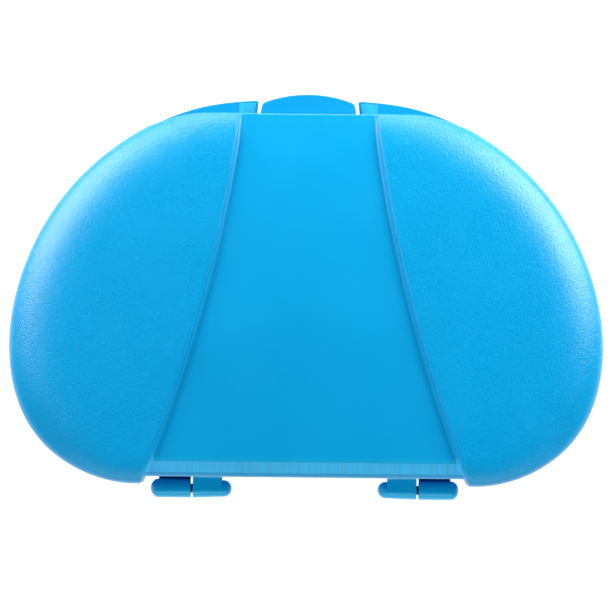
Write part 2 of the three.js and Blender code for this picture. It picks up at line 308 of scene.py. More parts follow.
def resample(P, n, ends=0.35):
    """n points along polyline P, denser at both ends."""
    s = np.r_[0, np.cumsum(np.linalg.norm(np.diff(P, axis=0), axis=1))]
    u = np.linspace(0, 1, n)
    u = u - ends * np.sin(2 * math.pi * u) / (2 * math.pi)
    w = u * s[-1]
    return np.stack([np.interp(w, s, P[:, k]) for k in range(P.shape[1])], 1)


def lobe_plan(n):
    """Plan curve of the right lobe: latch edge, round end, hinge edge."""
    xs = np.linspace(0, 110, 4000)
    ts = np.linspace(0, 1, 6000)
    D = spl(ts)
    yl = np.interp(D[:, 0], xs, top_line(xs))
    over = (D[:, 1] > yl) & (D[:, 0] < 110) & (ts < 0.5)
    last = np.nonzero(over)[0].max()
    xm = D[last, 0]
    xa = half_width(TOP_Y0) + EDGE_R * 1.0
    tx = np.linspace(xa, xm, 300)
    top = np.stack([tx, top_line(tx), np.zeros_like(tx)], 1)
    arc = np.stack([D[last + 1:, 0], D[last + 1:, 1], ts[last + 1:]], 1)
    C = np.vstack([top, arc])
    # hinge-edge corner: straight on to the inner line
    yb = BOTTOM_Y
    xb = half_width(yb) + EDGE_R * math.sqrt(1 + half_slope(yb) ** 2)
    C = C[~((C[:, 0] < xb + 0.2) & (C[:, 1] < 0))]
    C = np.vstack([C, [xb, yb, 1.0]])
    R = resample(C, n)
    return R


def lobe_patch(n=430):
    C = lobe_plan(n)
    P = C[:, :2]
    tan = np.gradient(P, axis=0)
    # smooth the direction field, so rings never fold at the joins
    s = np.r_[0, np.cumsum(np.linalg.norm(np.diff(P, axis=0), axis=1))]
    nin = np.stack([tan[:, 1], -tan[:, 0]], 1)
    nin /= np.linalg.norm(nin, axis=1)[:, None]
    for _ in range(6):
        nin[1:-1] = (nin[:-2] + 2 * nin[1:-1] + nin[2:]) / 4
    nin[0] = [0, -1]
    nin[-1] = [0, 1]
    nin /= np.linalg.norm(nin, axis=1)[:, None]
    # rings
    w0 = np.clip(1 - s / 26, 0, 1)[:, None]
    w1 = np.clip(1 - (s[-1] - s) / 26, 0, 1)[:, None]
    w0, w1 = smooth(0, 1, w0), smooth(0, 1, w1)
    cols = []
    for dlt in INSETS:
        q = P + nin * dlt
        # shear the ends on to the inner line
        ya = TOP_Y0 - dlt
        xa = half_width(ya) + EDGE_R * math.sqrt(1 + half_slope(ya) ** 2)
        yb = BOTTOM_Y + dlt
        xb = half_width(yb) + EDGE_R * math.sqrt(1 + half_slope(yb) ** 2)
        q = q + w0 * (np.array([xa, ya]) - q[0]) + w1 * (np.array([xb, yb]) - q[-1])
        cols.append(q)
    ring = cols[-1]
    # inner line between the two ring ends
    y0, y1 = ring[0, 1], ring[-1, 1]
    yy = np.linspace(y0, y1, 800)
    L = np.stack([half_width(yy) + EDGE_R * np.sqrt(1 + half_slope(yy) ** 2), yy], 1)
    L = resample(L, n, 0.55)
    # chords
    vec = L - ring
    ln = np.linalg.norm(vec, axis=1)
    a = np.array([1.2, 2.6, 4.2, 6.0, 8.0, 10.3, 13, 16, 19.5, 23.5, 28, 33])
    b = np.array([6.2, 4.6, 3.4, 2.7, 2.1, 1.55, 1.1, 0.7, 0.35, 0.15, 0.0])
    mid = 8
    sc = np.minimum(1, ln / 52)[:, None]
    A = a[None] * sc
    B = ln[:, None] - b[None] * sc
    m = A[:, -1:] + (B[:, :1] - A[:, -1:]) * (np.arange(1, mid) / mid)[None]
    pos = np.concatenate([A, m, B], 1) / np.maximum(ln, 1e-9)[:, None]
    for j in range(pos.shape[1]):
        cols.append(ring + vec * pos[:, j:j + 1])
    XY = np.stack(cols, 1)
    H = skin_h(XY[..., 0], XY[..., 1])
    H[:, 0] = RIM
    G = np.concatenate([XY, H[..., None]], 2)
    N = grid_normals(G)
    if N[n // 2, -8, 2] < 0:
        N = -N
    # the two corner columns take their neighbours' normals on the chords
    for k in range(len(INSETS), G.shape[1]):
        N[0, k] = N[1, k] = N[2, k]
        N[-1, k] = N[-2, k] = N[-3, k]
    return G, N


# ---------------------------------------------------------------- centre
def centre_rows():
    """(y, h, ny, nh) down the middle: latch wall, panel, facet, hinge wall."""
    rows = []

    def zp(y):
        return 33.7 - 1.1 * np.clip((y - 70) / 46, 0, None) ** 2

    # latch wall
    htop = float(zp(TOP_Y0 - 1.35 - TOP_R))
    wall_h = htop - TOP_R
    for h in np.linspace(RIM, wall_h, 12):
        rows.append((TOP_Y0 - TOP_DRAFT * h, h))
    yc = TOP_Y0 - TOP_DRAFT * wall_h - TOP_R
    for th in np.linspace(0, math.pi / 2, 9)[1:]:
        rows.append((yc + TOP_R * math.cos(th), wall_h + TOP_R * math.sin(th)))
    for y in np.concatenate([np.linspace(yc, 70, 26)[1:], np.linspace(70, -101.6, 60)[1:]]):
        rows.append((float(y), float(zp(y)) + (htop - float(zp(yc))) * 0))
    # convex roll to the facet
    a0 = math.radians(24.2)
    R1 = 3.5 / math.sin(a0)
    for th in np.linspace(0, a0, 9)[1:]:
        rows.append((-101.6 - R1 * math.sin(th), 33.7 - R1 * (1 - math.cos(th))))
    y1, h1 = rows[-1]
    # fine crease at the head of the facet
    for u in (0.03, 0.06, 0.09, 0.13, 0.2, 0.35, 0.5, 0.65, 0.8, 0.9, 1.0):
        y = y1 + (-112.0 - y1) * u
        rows.append((y, h1 + (y - y1) * math.tan(a0)))
    y2, h2 = rows[-1]
    a1 = math.radians(87.3)
    R2 = 5.4
    for th in np.linspace(a0, a1, 13)[1:]:
        rows.append((y2 - R2 * (math.sin(th) - math.sin(a0)),
                     h2 - R2 * (math.cos(a0) - math.cos(th))))
    y3, h3 = rows[-1]
    for u in np.linspace(0, 1, 10)[1:]:
        h = h3 + (RIM - h3) * u
        rows.append((y3 - (h3 - h) * math.tan(math.radians(2.7)), h))
    R = np.array(rows)
    R[:, 1] += 0.13 * np.exp(-((R[:, 0] - y1) / 0.45) ** 2) * (R[:, 1] > 25)
    d = np.gradient(R, axis=0)
    n = np.stack([d[:, 1], -d[:, 0]], 1)
    n /= np.linalg.norm(n, axis=1)[:, None]
    return R, n


ROWS, ROWN = centre_rows()
if ROWN[40, 1] < 0:
    ROWN = -ROWN


def centre_height(y):
    """Height of the centre's skin at y, along the panel and down the wall."""
    R = ROWS[18:]
    o = np.argsort(R[:, 0])
    return np.interp(y, R[o, 0], R[o, 1])


def centre_patch(o=0.0):
    """The middle of the shell, sweeping up into the lobes' walls."""
    R = ROWS - o * ROWN
    hw = half_width(ROWS[:, 0])
    e_out = np.array([9, 7, 5.6, 4.8, 4.2, 3.7, 3.2, 2.7, 2.3, 1.9, 1.5, 1.2, 0.9, 0.6, 0.35, 0.15, 0.0, -0.3])
    top = skin_h(hw + 0.5, np.clip(ROWS[:, 0], -113, 113))
    step = np.clip(top - ROWS[:, 1], 0, None)
    k = np.clip(step / 3.6, 0, 1)
    k[:21] = k[21] * smooth(12, 21, np.arange(21))
    k[-22:] = k[-23] * smooth(0, 1, np.linspace(1, 0, 22)) * 0.5
    rad = 2.8
    cols = []
    inner = np.linspace(0, 1, 15)[:-1]
    edge = 9.0
    for u in inner:
        x = (hw - edge) * u
        cols.append(np.stack([x, R[:, 0], R[:, 1]], 1))
    if o == 0:
        for e in e_out:
            c = max(e, 0.0)
            f = rad - math.sqrt(max(rad**2 - max(rad - c, 0) ** 2, 0))
            f = min(f, 2.0) * k
            x = hw - e
            cols.append(np.stack([x, R[:, 0] + f * ROWN[:, 0], R[:, 1] + f * ROWN[:, 1]], 1))
    else:
        for e in np.linspace(9, -o, 8):
            cols.append(np.stack([hw - e, R[:, 0], R[:, 1]], 1))
    right = np.stack(cols, 1)  # rows x cols x 3
    left = right[:, :0:-1].copy()
    left[..., 0] *= -1
    G = np.concatenate([left, right], 1)
    return G


def step_wall(line, lineN, o=0.0):
    """The lobe's inner wall: an edge arc off the skin, then down to the panel.

    line runs along the lobe skin 0.7 mm outside the wall plane."""
    n = len(line)
    y = line[:, 1]
    sl = half_slope(y)
    cs = 1 / np.sqrt(1 + sl**2)
    wn = np.stack([-cs, cs * sl, np.zeros(n)], 1)  # towards the panel
    cols, nrm = [], []
    if o == 0:
        c = line - EDGE_R * lineN
        for th in np.linspace(0, 1, 8):
            # turn from the skin's normal to the wall's
            dot = np.clip((lineN * wn).sum(1), -1, 1)
            om = np.arccos(dot)
            a = np.sin((1 - th) * om) / np.sin(om)
            b = np.sin(th * om) / np.sin(om)
            m = lineN * a[:, None] + wn * b[:, None]
            cols.append(c + EDGE_R * m)
            nrm.append(m)
        last = cols[-1]
        hb = centre_height(np.clip(y, -116.35, 116)) - 1.3
        hb = np.where(y < -116.2, RIM, np.maximum(hb, RIM))
        yb = np.clip(last[:, 1], -120.1, 116.2)
        base = np.stack([half_width(yb) - 0.35, yb, np.minimum(hb, last[:, 2])], 1)
        for u in (0.15, 0.35, 0.6, 1.0):
            cols.append(last + (base - last) * u)
            nrm.append(wn)
    else:
        off = line - o * lineN
        yy = np.clip(off[:, 1], -118.25, 114.3)
        x = half_width(yy) + o * 0.98
        top = np.stack([x, yy, off[:, 2] + 0.15], 1)
        ib = ROWS - o * ROWN
        keep = slice(18, None)
        order = np.argsort(ib[keep][:, 0])
        hb = np.interp(yy, ib[keep][:, 0][order], ib[keep][:, 1][order])
        hb = np.where(yy < -113.95, RIM, np.maximum(hb, RIM))
        base = np.stack([x, yy, np.minimum(hb, top[:, 2])], 1)
        for u in (0.0, 0.5, 1.0):
            cols.append(top + (base - top) * u)
            nrm.append(wn)
    return np.stack(cols, 1), np.stack(nrm, 1)


def rim(outer, inner):
    """Flat rim between two edge lines at the parting plane."""
    G = np.stack([outer, inner], 1).copy()
    G[..., 2] = RIM
    N = np.zeros_like(G)
    N[..., 2] = -1
    return G, N


def shell_skins():
    """Both skins and the rim of one shell, height up from the parting plane."""
    half = Bag()
    G, N = lobe_patch()
    half.grid(G, N, 0)
    Gi = G - WALL * N
    Gi[:, 0, 2] = RIM
    half.grid(Gi, -N, 2)
    K = len(INSETS)
    line = np.concatenate([G[0, :K], G[1:-1, -1], G[-1, :K][::-1]])
    lN = np.concatenate([N[0, :K], N[1:-1, -1], N[-1, :K][::-1]])
    S, SN = step_wall(line, lN)
    half.grid(S, SN, 0)
    T, TN = step_wall(line, lN, WALL)
    half.grid(T, -TN, 2)
    half.grid(*rim(G[:, 0], Gi[:, 0]), 2)
    # rim of the lobe's corner beside the hinge wall
    y = np.linspace(-120.6, -115.9, 6)
    a = np.stack([half_width(y) - 0.3, y, y * 0], 1)
    b = np.stack([half_width(y) + WALL + 0.3, y, y * 0], 1)
    half.grid(*rim(a, b), 2)
    bag = Bag()
    bag.add(half)
    bag.add(half, mirror_x=True)
    # centre
    C = centre_patch()
    CN = grid_normals(C)
    if CN[40, 40, 2] < 0:
        CN = -CN
    i0 = int(np.argmin(np.abs(ROWS[:, 0] + 105.1)))
    i1 = int(np.argmin(np.abs(ROWS[:, 0] + 112.1) + 99 * (ROWS[:, 1] < 20)))
    ir = int(np.argmin(np.abs(ROWS[:, 0] + 101.9)))
    # materials 5 (roll) and 4 (facet) are lighter copies of the blue: painted light on the rounding and the
    # facet
    for a, b, mat in ((0, ir, 1), (ir, i0, 5), (i0, i1, 4), (i1, len(C) - 1, 1)):
        bag.grid(C[a:b + 1], CN[a:b + 1], mat)
    I = centre_patch(WALL)
    IN = grid_normals(I)
    if IN[40, 10, 2] < 0:
        IN = -IN
    I[0, :, 2] = I[-1, :, 2] = RIM
    bag.grid(I, -IN, 2)
    n = 60
    for row, inn in ((0, TOP_Y0 - WALL), (-1, -116.4 + WALL)):
        y = C[row, C.shape[1] // 2, 1]
        x = np.linspace(-half_width(y) - 1.5, half_width(y) + 1.5, n)
        bag.grid(*rim(np.stack([x, x * 0 + y, x * 0], 1),
                      np.stack([x, x * 0 + inn, x * 0], 1)), 2)
    return bag


# ---------------------------------------------------------------- hardware
def lathe(bag, prof, x0, sign, axis_y=AXIS_Y, axis_h=0.0, mat=3, n=64):
    """Profile of (radius, length along x) turned about X."""
    prof = np.array(prof, float)
    th = np.linspace(0, 2 * math.pi, n, endpoint=False)
    r, l = prof[:, 0], prof[:, 1]
    G = np.stack([
        np.broadcast_to(x0 + sign * l, (n, len(prof))),
        axis_y + np.cos(th)[:, None] * r[None],
        axis_h + np.sin(th)[:, None] * r[None]], 2)
    d = np.gradient(prof, axis=0)
    nr, nl = d[:, 1], -d[:, 0]
    k = np.hypot(nr, nl)
    nr, nl = nr / k, nl / k
    N = np.stack([
        np.broadcast_to(sign * nl, (n, len(prof))),
        np.cos(th)[:, None] * nr[None],
        np.sin(th)[:, None] * nr[None]], 2)
    bag.grid(G, N, mat, close=True)


def knuckle_profile(length, r0, r1, bore=3.2, dome=5.0, lip=0.45):
    p = [(bore, 3.0), (bore, 0.3), (bore + 0.05, 0.08), (bore + 0.3, 0.0), (r0 - lip - 0.4, 0.0)]
    for a in np.linspace(0, math.pi / 2, 6):
        p.append((r0 - lip + lip * math.sin(a), lip - lip * math.cos(a)))
    for u in np.linspace(0, 1, 8)[1:]:
        p.append((r0 + (r1 - r0) * u, lip + (length - dome - lip) * u))
    for a in np.linspace(0, math.pi / 2, 18)[1:]:
        p.append((r1 * math.cos(a), length - dome + dome * math.sin(a)))
    return p


def shell_hardware(bag, kn, wb, outer):
    half = Bag()
    length = kn[1] - kn[0]
    if outer:  # tray barrel: gap face inboard, dome outboard
        lathe(half, knuckle_profile(length, KN_R, KN_R), kn[0], 1)
    else:
        lathe(half, knuckle_profile(length, KN_R, KN_TIP), kn[1], -1)
    bag.add(half).add(half, mirror_x=True)


WEB = [(-115.0, 0.15), (-115.0, 7.6), (-115.6, 7.05), (-116.2, 6.6), (-116.8, 6.3),
       (-117.5, 6.1), (-118.4, 6.02), (-120.0, 6.0), (-121.6, 6.0), (-123.2, 6.0),
       (-124.3, 5.98), (-125.0, 5.86), (-125.6, 5.6), (-126.0, 5.0), (-126.0, 0.15)]


def solid_prism(name, pts, lo, hi, axis="z", bevel=0.3, seg=3, pick=None, mat=None):
    """A rounded prism: polygon pts swept along an axis, edges bevelled."""
    import bmesh
    bm = bmesh.new()
    P = [Vector((p[0], p[1], 0)) for p in pts]
    n = len(P)

    def place(u, v, w):
        if axis == "z":
            return (u, v, w)
        if axis == "x":
            return (w, u, v)
        return (u, w, v)

    low = [bm.verts.new(place(p.x, p.y, lo)) for p in P]
    high = [bm.verts.new(place(p.x, p.y, hi)) for p in P]
    bm.faces.new(low)
    bm.faces.new(high)
    for i in range(n):
        j = (i + 1) % n
        bm.faces.new((low[i], low[j], high[j], high[i]))
    bmesh.ops.recalc_face_normals(bm, faces=bm.faces)
    if bevel:
        edges = [e for e in bm.edges if (e.calc_face_angle(0) > math.radians(22))
                 and (pick is None or pick(e))]
        bmesh.ops.bevel(bm, geom=edges, offset=bevel, segments=seg, profile=0.5,
                        affect="EDGES", clamp_overlap=True)
    for f in bm.faces:
        f.smooth = True
    for v in bm.verts:
        v.co *= MM
    me = bpy.data.meshes.new(name)
    bm.to_mesh(me)
    bm.free()
    if mat is not None:
        me.materials.append(mat)
    ob = bpy.data.objects.new(name, me)
    bpy.context.scene.collection.objects.link(ob)
    w = ob.modifiers.new("weighted", "WEIGHTED_NORMAL")
    w.keep_sharp = True
    w.weight = 80
    return ob


def settle(ob):
    """Applies a piece's modifiers."""
    dg = bpy.context.evaluated_depsgraph_get()
    me = bpy.data.meshes.new_from_object(ob.evaluated_get(dg))
    ob.modifiers.clear()
    old = ob.data
    ob.data = me
    me.name = old.name
    return ob


def join(target, others):
    for o in others:
        settle(o)
    for o in bpy.context.scene.objects:
        o.select_set(False)
    for o in others + [target]:
        o.select_set(True)
    bpy.context.view_layer.objects.active = target
    bpy.ops.object.join()
    return target


def mirror_pts(pts):
    return [(-x, y) for x, y in reversed(pts)]


def circle(cx, cy, r, a0, a1, n):
    return [(cx + r * math.cos(math.radians(a0 + (a1 - a0) * i / n)),
             cy + r * math.sin(math.radians(a0 + (a1 - a0) * i / n))) for i in range(n + 1)]


def wing_pts():
    """Plan of the right flange wing, from the latch gap round to its tip."""
    ts = np.linspace(0.05, 0.5, 400)
    D = spl(ts)
    xs = np.concatenate([np.linspace(32.9, 92, 30), np.linspace(93.5, 101.5, 6)])
    ys = np.interp(xs, D[:, 0], D[:, 1])
    pts = [(x, y) for x, y in zip(xs, ys)]
    back = [(x, float(top_line(x)) - 1.0) for x in np.linspace(101, 33.2, 18)]
    corner = [(33.15, 117.0), (32.35, 123.4), (32.15, 125.0)]
    return pts + back + corner


# ---------------------------------------------------------------- materials
def material(name, base, rough, bump=None, spec=0.66, tint=0.05, coat=0.0, wear=True,
             sss=0.0):
    m = bpy.data.materials.new(name)
    m.use_nodes = True
    nt = m.node_tree
    nt.nodes.clear()
    N = nt.nodes.new
    L = nt.links.new
    out = N("ShaderNodeOutputMaterial")
    bs = N("ShaderNodeBsdfPrincipled")
    L(bs.outputs[0], out.inputs[0])
    bs.inputs["Roughness"].default_value = rough
    bs.inputs["IOR"].default_value = 1.49
    bs.inputs["Specular IOR Level"].default_value = spec
    if coat:
        bs.inputs["Coat Weight"].default_value = coat
        bs.inputs["Coat Roughness"].default_value = 0.25
    co = N("ShaderNodeTexCoord")
    # base colour: slow mottling of the moulded polypropylene
    slow = N("ShaderNodeTexNoise")
    slow.inputs["Scale"].default_value = 9.0
    slow.inputs["Detail"].default_value = 3.0
    L(co.outputs["Object"], slow.inputs["Vector"])
    ramp = N("ShaderNodeMapRange")
    ramp.inputs["From Min"].default_value = 0.3
    ramp.inputs["From Max"].default_value = 0.7
    ramp.inputs["To Min"].default_value = 1 - tint
    ramp.inputs["To Max"].default_value = 1 + tint
    L(slow.outputs["Fac"], ramp.inputs["Value"])
    mul = N("ShaderNodeMix")
    mul.data_type = "RGBA"
    mul.blend_type = "MULTIPLY"
    mul.inputs["Factor"].default_value = 1.0
    mul.inputs["A"].default_value = (*base, 1)
    L(ramp.outputs[0], mul.inputs["B"])
    col = mul.outputs["Result"]
    # roughness: rubbed and dull places
    rn = N("ShaderNodeTexNoise")
    rn.inputs["Scale"].default_value = 38.0
    rn.inputs["Detail"].default_value = 5.0
    L(co.outputs["Object"], rn.inputs["Vector"])
    rr = N("ShaderNodeMapRange")
    rr.inputs["To Min"].default_value = rough - 0.04
    rr.inputs["To Max"].default_value = rough + 0.05
    L(rn.outputs["Fac"], rr.inputs["Value"])
    L(rr.outputs[0], bs.inputs["Roughness"])
    L(col, bs.inputs["Base Color"])
    normal = None
    if bump:
        kind, size, depth, strength = bump
        if kind == "stipple":
            a = N("ShaderNodeTexNoise")
            a.inputs["Scale"].default_value = 1.0 / size
            a.inputs["Detail"].default_value = 2.5
            a.inputs["Roughness"].default_value = 0.55
            L(co.outputs["Object"], a.inputs["Vector"])
            h = a.outputs["Fac"]
        elif kind == "fine":
            a = N("ShaderNodeTexNoise")
            a.inputs["Scale"].default_value = 1.0 / size
            a.inputs["Detail"].default_value = 4.0
            L(co.outputs["Object"], a.inputs["Vector"])
            h = a.outputs["Fac"]
        else:  # striae across X
            mp = N("ShaderNodeMapping")
            mp.inputs["Scale"].default_value = (1.0 / size, 12.0, 12.0)
            L(co.outputs["Object"], mp.inputs["Vector"])
            a = N("ShaderNodeTexNoise")
            a.inputs["Scale"].default_value = 1.0
            a.inputs["Detail"].default_value = 2.0
            L(mp.outputs[0], a.inputs["Vector"])
            h = a.outputs["Fac"]
            sr = N("ShaderNodeMapRange")
            sr.inputs["From Min"].default_value = 0.3
            sr.inputs["From Max"].default_value = 0.7
            sr.inputs["To Min"].default_value = 0.88
            sr.inputs["To Max"].default_value = 1.1
            L(h, sr.inputs["Value"])
            sm = N("ShaderNodeMix")
            sm.data_type = "RGBA"
            sm.blend_type = "MULTIPLY"
            sm.inputs["Factor"].default_value = 1.0
            L(col, sm.inputs["A"])
            L(sr.outputs[0], sm.inputs["B"])
            L(sm.outputs["Result"], bs.inputs["Base Color"])
        b = N("ShaderNodeBump")
        b.inputs["Strength"].default_value = strength
        b.inputs["Distance"].default_value = depth
        L(h, b.inputs["Height"])
        normal = b.outputs[0]
        L(normal, bs.inputs["Normal"])
    if sss:
        bs.inputs["Subsurface Weight"].default_value = sss
        bs.inputs["Subsurface Radius"].default_value = (0.15, 0.5, 1.0)
        bs.inputs["Subsurface Scale"].default_value = 0.002
    return m


BLUE = (0.0, 0.30, 0.63)
M_LOBE = material("polypropylene_textured", BLUE, 0.27, ("stipple", 0.0012, 0.00035, 0.9))
M_PANEL = material("polypropylene_smooth", BLUE, 0.30, ("fine", 0.0006, 0.00005, 0.2))
M_INNER = material("polypropylene_inner", BLUE, 0.46, ("fine", 0.0009, 0.0001, 0.25))
# painted light: the hinge barrels and webs take a lighter copy of the shell's blue, to make up for the shade
# under the hinge wall
M_HINGE_PAINTED_LIGHT = material("polypropylene_hinge_painted_light", (0.0, 0.44, 0.80), 0.30, ("fine", 0.0008, 0.00005, 0.2))
# painted shade: the pins are coloured near-black navy, the shade that fills the gap between the hinge barrels
M_PIN_PAINTED_SHADE = material("pin_plastic", (0.0, 0.02, 0.16), 0.4, ("fine", 0.0008, 0.00003, 0.2))
# painted shade: the latch tab and the flange wings take a darker copy of the blue, toning down the light that
# falls on them from above
M_LATCH_PAINTED_SHADE = material("polypropylene_latch_painted_shade", (0.0, 0.255, 0.54), 0.30, ("fine", 0.0007, 0.00005, 0.2))
# painted light: the hinge-side facet takes a lighter copy of the blue for the light it catches; its striae are
# moulded texture
M_FACET_PAINTED_LIGHT = material("polypropylene_facet_painted_light", (0.02, 0.43, 0.82), 0.38, ("striae", 0.0013, 0.0002, 0.35))
# painted shade: a dark navy copy of the blue for the shadowed gap between the tray's barrel and the hinge wall
M_GAP_PAINTED_SHADE = material("polypropylene_gap_painted_shade", (0.0, 0.08, 0.40), 0.45, ("fine", 0.0008, 0.00005, 0.2))
# painted light: the raised pads on the wings take a lighter copy of the blue, standing in for the bright
# streaks they catch
M_PAD_PAINTED_LIGHT = material("polypropylene_pad_painted_light", (0.02, 0.36, 0.66), 0.34, ("striae", 0.0013, 0.0002, 0.35))
# painted light: the convex roll between panel and facet takes a lighter copy of the blue for the light it
# catches
M_ROLL_PAINTED_LIGHT = material("polypropylene_roll_painted_light", (0.0, 0.37, 0.70), 0.30, ("fine", 0.0006, 0.00005, 0.2))
MATS = [M_LOBE, M_PANEL, M_INNER, M_HINGE_PAINTED_LIGHT, M_FACET_PAINTED_LIGHT, M_ROLL_PAINTED_LIGHT]


# ---------------------------------------------------------------- shells
SKINS = shell_skins()
TRAY_Z, COVER_Z = PART_Z, PART_Z

cover_bag = Bag().add(SKINS)
shell_hardware(cover_bag, (47.1, 72.0), (53.1, 72.0), False)
cover = cover_bag.build("cover_shell_visual", MATS, COVER_Z)

tray_bag = Bag()
hw_bag = Bag().add(SKINS)
shell_hardware(hw_bag, (73.5, 99.3), (73.6, 94.1), True)
tray_bag.add(hw_bag, mirror_z=True)
tray = tray_bag.build("tray_shell_visual", MATS, TRAY_Z)


def put(pts, a, b, axis, sgn, **kw):
    """A prism given in shell heights, set over (sgn 1) or under (-1) the parting plane."""
    if axis == "x":
        P = [(u, PART_Z + sgn * v) for u, v in pts]
        return solid_prism(pts=P, lo=a, hi=b, axis="x", **kw)
    lo, hi = PART_Z + sgn * a, PART_Z + sgn * b
    return solid_prism(pts=pts, lo=min(lo, hi), hi=max(lo, hi), axis=axis, **kw)


for shell, sgn, wb in ((cover, 1, (53.1, 72.0)), (tray, -1, (73.6, 94.1))):
    extra = []
    for s in (1, -1):
        a, b = sorted((s * wb[0], s * (wb[1] - 0.02)))
        web = put(WEB, a, b, "x", sgn, name="web", bevel=0.4, mat=M_HINGE_PAINTED_LIGHT,
                  pick=lambda e: abs(e.verts[0].co.x - e.verts[1].co.x) < 1)
        for v in web.data.vertices:  # the top falls with the barrel's taper
            r = KN_R
            if sgn > 0:
                r += (KN_TIP - KN_R) * np.clip((72.0 - abs(v.co.x) / MM) / 19.0, 0, 1)
            h = sgn * (v.co.z / MM - PART_Z)
            w_ = float(smooth(117.6, 123.5, -v.co.y / MM)) * min(1.0, max(h, 0) / 4)
            v.co.z = (PART_Z + sgn * h * (1 - w_ * (1 - r / KN_R))) * MM
        if sgn < 0:
            # the top faces of the tray's webs get the dark navy: painted shade in the gap under the cover's
            # hinge wall
            web.data.materials.append(M_GAP_PAINTED_SHADE)
            for q in web.data.polygons:
                q.material_index = int(q.center.z > (PART_Z - 0.3) * MM)
        extra.append(web)
        w = wing_pts() if s > 0 else mirror_pts(wing_pts())
        # the wings take the latch's darker copy of the blue: painted shade
        extra.append(put(w, 0.15, 2.65, "z", sgn, name="wing", bevel=0.45, mat=M_LATCH_PAINTED_SHADE))
        px = (34.0, 44.6) if s > 0 else (-44.6, -34.0)
        pad = [(px[0], 117.6), (px[1], 117.6), (px[1], 123.9), (px[0], 124.2)] if s > 0 else \
              [(px[0], 117.6), (px[1], 117.6), (px[1], 124.2), (px[0], 123.9)]
        # the pads take a lighter copy of the blue: painted light
        extra.append(put(pad, 2.0, 3.15, "z", sgn, name="pad", bevel=0.3, mat=M_PAD_PAINTED_LIGHT))
    if sgn > 0:
        led = [(-20, 115.6), (20, 115.6), (20, 121.8), (-20, 121.8)]
        extra.append(put(led, 0.15, 8.0, "z", 1, name="ledge", bevel=0.5, mat=M_PANEL))
    else:
        for s in (1, -1):
            a, b = sorted((s * 12.0, s * 17.0))
            ear = [(115.6, 10.4), (121.0, 10.4)] + circle(121.0, 14.0, 3.6, -90, 90, 14)[1:-1] + [(121.0, 17.6), (115.6, 17.6)]
            extra.append(put(ear, a, b, "x", -1, name="lug", bevel=0.35, mat=M_PANEL))
    join(shell, extra)

# ---------------------------------------------------------------- latch
LR, LA = 79.0, 129.5


def tab_outline(off=0.0, y0=117.0):
    cy = LA - LR
    xo, xi = 29.9 - off, 30.7 - off
    pts = [(-xi, y0), (xi, y0), (xi - 0.05, 119.0), (xo + 0.15, 121.9)]
    r = LR - off
    # rounded corner into the long curve
    xe = 27.6 - off
    ye = cy + math.sqrt(r * r - xe * xe)
    p0, p1, p2 = (xo + 0.15, 121.9), (xo - 0.35, ye - 0.75), (xe, ye)
    for k in range(1, 8):
        u = k / 8
        pts.append(tuple((1 - u) ** 2 * a + 2 * u * (1 - u) * b + u * u * c
                         for a, b, c in zip(p0, p1, p2)))
    n = 48
    for i in range(n + 1):
        x = xe - 2 * xe * i / n
        pts.append((x, cy + math.sqrt(r * r - x * x)))
    for k in range(7, 0, -1):
        u = k / 8
        q = tuple((1 - u) ** 2 * a + 2 * u * (1 - u) * b + u * u * c
                  for a, b, c in zip(p0, p1, p2))
        pts.append((-q[0], q[1]))
    pts += [(-(xo + 0.15), 121.9), (-(xi - 0.05), 119.0)]
    return pts


def c_outline(y_in):
    """The tab's outline as a band 2.6 mm thick, open towards the case."""
    out = tab_outline(0.0, y_in)
    inn = tab_outline(2.6, y_in)
    # outer from right foot round to left foot, inner back again
    o = out[1:] + [out[0]]
    i = inn[1:] + [inn[0]]
    return o + i[::-1]


plate = solid_prism("latch_visual", tab_outline(), 46.35, 49.3, "z", bevel=0.7, seg=4,
                    pick=lambda e: min(v.co.z for v in e.verts) > 48.0, mat=M_LATCH_PAINTED_SHADE)
skirt = solid_prism("skirt", c_outline(117.0), 24.0, 46.4, "z", bevel=0.0, mat=M_LATCH_PAINTED_SHADE)
cy = LA - LR
arc_o = [(x, cy + math.sqrt(LR**2 - x * x)) for x in np.linspace(28.6, -28.6, 49)]
arc_i = [(x, cy + math.sqrt((LR - 2.6)**2 - x * x)) for x in np.linspace(-28.6, 28.6, 49)]
apron = solid_prism("apron", arc_o + arc_i, 20.8, 24.05, "z", bevel=0.6,
                    pick=lambda e: max(v.co.z for v in e.verts) < 21.2, mat=M_LATCH_PAINTED_SHADE)
parts = [skirt, apron]
for a, b in ((-28.6, -17.3), (-11.7, 11.7), (17.3, 28.6)):
    yy = float(cy + math.sqrt((LR - 1.3) ** 2 - max(abs(a), abs(b)) ** 2))
    hub = circle(121.0, 24.0, 3.5, 90, 270, 20) + [(yy, 20.9), (yy, 27.2)]
    parts.append(solid_prism("hub", hub, a, b, "x", bevel=0.3, mat=M_LATCH_PAINTED_SHADE))
settle(plate)
latch = join(plate, parts)

# ---------------------------------------------------------------- pins
pins = []
for nm, s in (("hinge_pin_right_visual", 1), ("hinge_pin_left_visual", -1)):
    b = Bag()
    prof = [(0.0, 0.0), (2.3, 0.0), (2.6, 0.1), (2.82, 0.35), (2.9, 0.7)]
    prof += [(2.9, l) for l in np.linspace(4, 40, 8)]
    prof += [(2.9, 43.5), (2.82, 43.85), (2.6, 44.1), (2.3, 44.2), (0.0, 44.2)]
    lathe(b, prof, s * 50.9, s)
    b.m = [np.zeros_like(m) for m in b.m]
    pins.append(b.build(nm, [M_PIN_PAINTED_SHADE], PART_Z))
b = Bag()
prof = [(0.0, 0.0), (1.5, 0.0), (1.8, 0.1), (1.95, 0.3), (2.0, 0.6)]
prof += [(2.0, l) for l in np.linspace(3, 56, 10)]
prof += [(2.0, 59.0), (1.95, 59.3), (1.8, 59.5), (1.5, 59.6), (0.0, 59.6)]
lathe(b, prof, -29.8, 1, axis_y=121.0, axis_h=0.0)
b.m = [np.zeros_like(m) for m in b.m]
